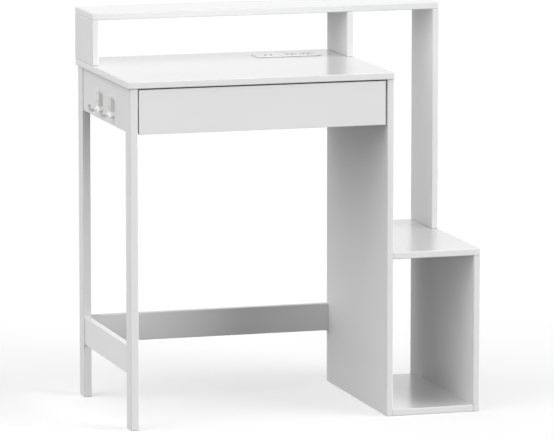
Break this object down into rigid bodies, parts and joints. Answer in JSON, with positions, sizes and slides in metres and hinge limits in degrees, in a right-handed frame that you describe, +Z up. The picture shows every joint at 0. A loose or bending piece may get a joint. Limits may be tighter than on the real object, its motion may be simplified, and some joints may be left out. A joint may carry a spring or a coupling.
{
  "type": "student desk with hutch",
  "caption": "Narrow white student desk with a raised rear hutch shelf, an inset drawer on roller runners, an open side cabinet, a power strip and side hooks.",
  "frame": {"origin": "on the floor, under the middle of the whole desk, hooks included", "axes": "+Z up, +X to the sitter's right, +Y from the sitter's side to the back"},
  "size_m": [0.824, 0.45, 0.875],
  "materials": {
    "white_laminate": "white melamine laminate on particle board, satin",
    "white_hardboard": "white lacquered hardboard, matt",
    "beech": "raw beech",
    "zinc_steel": "zinc plated",
    "cap_plastic": "white moulded plastic",
    "white_enamel": "white epoxy coating",
    "nylon": "natural nylon",
    "hook_chrome": "polished chrome plate",
    "strip_plastic": "white moulded plastic, fine grain",
    "outlet_plastic": "white moulded plastic, polished",
    "contact_brass": "rolled brass",
    "port_steel": "nickel plated",
    "port_plastic": "black moulded plastic",
    "board_resin": "green solder mask",
    "gland_rubber": "black soft rubber"
  },
  "bodies": {
    "desk": {"cabinet_bottom": "white_laminate", "cabinet_right_panel": "white_laminate", "cabinet_top": "white_laminate", "cam_bolts": "zinc_steel", "cam_caps": "cap_plastic", "cam_discs": "zinc_steel", "cord_gland": "gland_rubber", "desktop": "white_laminate", "frame_dowels": "beech", "front_hook": "hook_chrome", "front_left_leg": "white_laminate", "front_roller_axles": "zinc_steel", "hook_screws": "hook_chrome", "hutch_divider": "white_laminate", "hutch_left_panel": "white_laminate", "hutch_right_upright": "white_laminate", "hutch_screws": "zinc_steel", "hutch_shelf": "white_laminate", "left_cabinet_runner": "white_enamel", "left_lower_rail": "white_laminate", "left_side_apron": "white_laminate", "outlet_bus_bars": "contact_brass", "outlet_inserts": "outlet_plastic", "power_strip_bracket_screws": "zinc_steel", "power_strip_brackets": "zinc_steel", "power_strip_cover": "strip_plastic", "power_strip_housing": "strip_plastic", "power_strip_screws": "zinc_steel", "rear_hook": "hook_chrome", "rear_left_leg": "white_laminate", "rear_lower_rail": "white_laminate", "rear_top_rail": "white_laminate", "right_cabinet_runner": "white_enamel", "right_side_panel": "white_laminate", "runner_screws": "zinc_steel", "usb_circuit_board": "board_resin", "usb_ports": "port_steel", "usb_tongues": "port_plastic"},
    "drawer": {"drawer_front": "white_laminate", "drawer_left_side": "white_laminate", "drawer_right_side": "white_laminate", "drawer_back": "white_laminate", "drawer_bottom": "white_hardboard", "drawer_cam_bolts": "zinc_steel", "drawer_cam_discs": "zinc_steel", "drawer_corner_screws": "zinc_steel", "left_drawer_runner": "white_enamel", "right_drawer_runner": "white_enamel", "rear_roller_axles": "zinc_steel", "drawer_runner_screws": "zinc_steel"},
    "left_front_roller": {"left_front_roller": "nylon"},
    "right_front_roller": {"right_front_roller": "nylon"},
    "left_rear_roller": {"left_rear_roller": "nylon"},
    "right_rear_roller": {"right_rear_roller": "nylon"}
  },
  "joints": [
    {"name": "drawer_slide", "type": "slide", "parent": "desk", "child": "drawer", "axis": [0, -1, 0], "range_m": [0, 0.25]},
    {"name": "left_front_roller_spin", "type": "hinge", "parent": "desk", "child": "left_front_roller", "pos_m": [-0.3595, -0.1905, 0.6755], "axis": [1, 0, 0], "continuous": true},
    {"name": "right_front_roller_spin", "type": "hinge", "parent": "desk", "child": "right_front_roller", "pos_m": [0.1925, -0.1905, 0.6755], "axis": [1, 0, 0], "continuous": true},
    {"name": "left_rear_roller_spin", "type": "hinge", "parent": "drawer", "child": "left_rear_roller", "pos_m": [-0.3558, 0.082, 0.6755], "axis": [1, 0, 0], "continuous": true},
    {"name": "right_rear_roller_spin", "type": "hinge", "parent": "drawer", "child": "right_rear_roller", "pos_m": [0.1888, 0.082, 0.6755], "axis": [1, 0, 0], "continuous": true}
  ],
  "couplings": [
    {"joint": "left_front_roller_spin", "follows": "drawer_slide", "rad_per_m": 100},
    {"joint": "right_front_roller_spin", "follows": "drawer_slide", "rad_per_m": 100},
    {"joint": "left_rear_roller_spin", "follows": "drawer_slide", "rad_per_m": 100},
    {"joint": "right_rear_roller_spin", "follows": "drawer_slide", "rad_per_m": 100}
  ]
}
